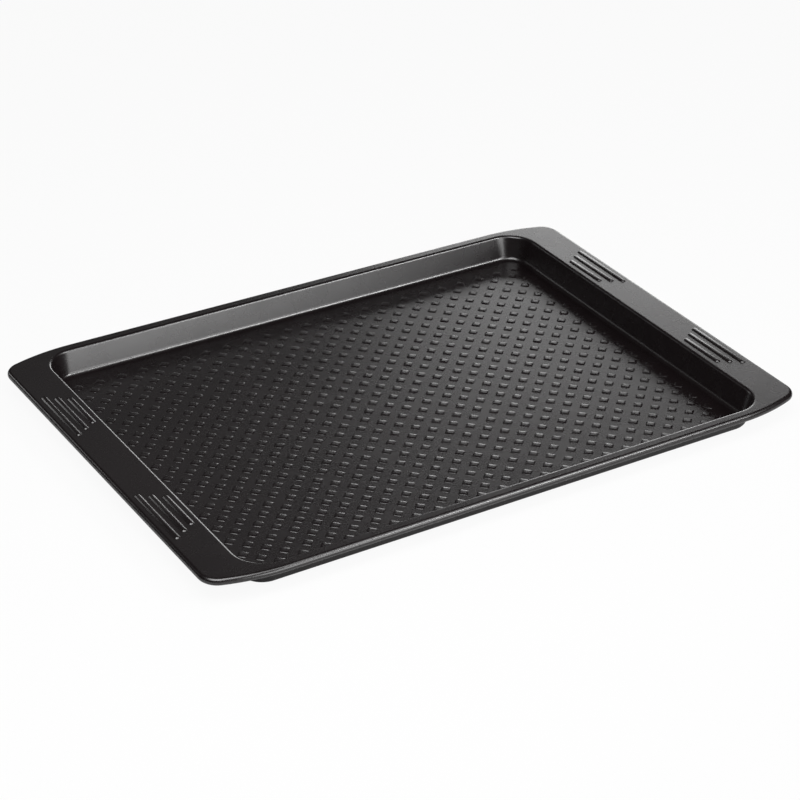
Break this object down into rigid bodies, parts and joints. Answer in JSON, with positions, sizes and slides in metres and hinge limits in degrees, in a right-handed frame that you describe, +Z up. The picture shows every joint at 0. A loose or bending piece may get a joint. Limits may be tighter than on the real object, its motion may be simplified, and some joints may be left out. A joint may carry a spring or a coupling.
{
  "type": "oven tray",
  "caption": "Shallow rectangular non-stick oven tray with a sloping wall, a flat rim that widens into a ribbed handle at each short end, and an edge rolled over a stiffening wire.",
  "frame": {"origin": "middle of the underside of the floor, on the surface that the tray stands on", "axes": "+Z up, +X along the tray from handle to handle, +Y across it towards the far long side"},
  "size_m": [0.429, 0.2956, 0.0186],
  "materials": {
    "nonstick_coating": "satin charcoal non-stick coating on pressed steel, with a fine grain",
    "steel_wire": "drawn steel wire"
  },
  "bodies": {
    "root": {"pan_shell": "nonstick_coating", "rim_wire": "steel_wire"}
  },
  "joints": []
}
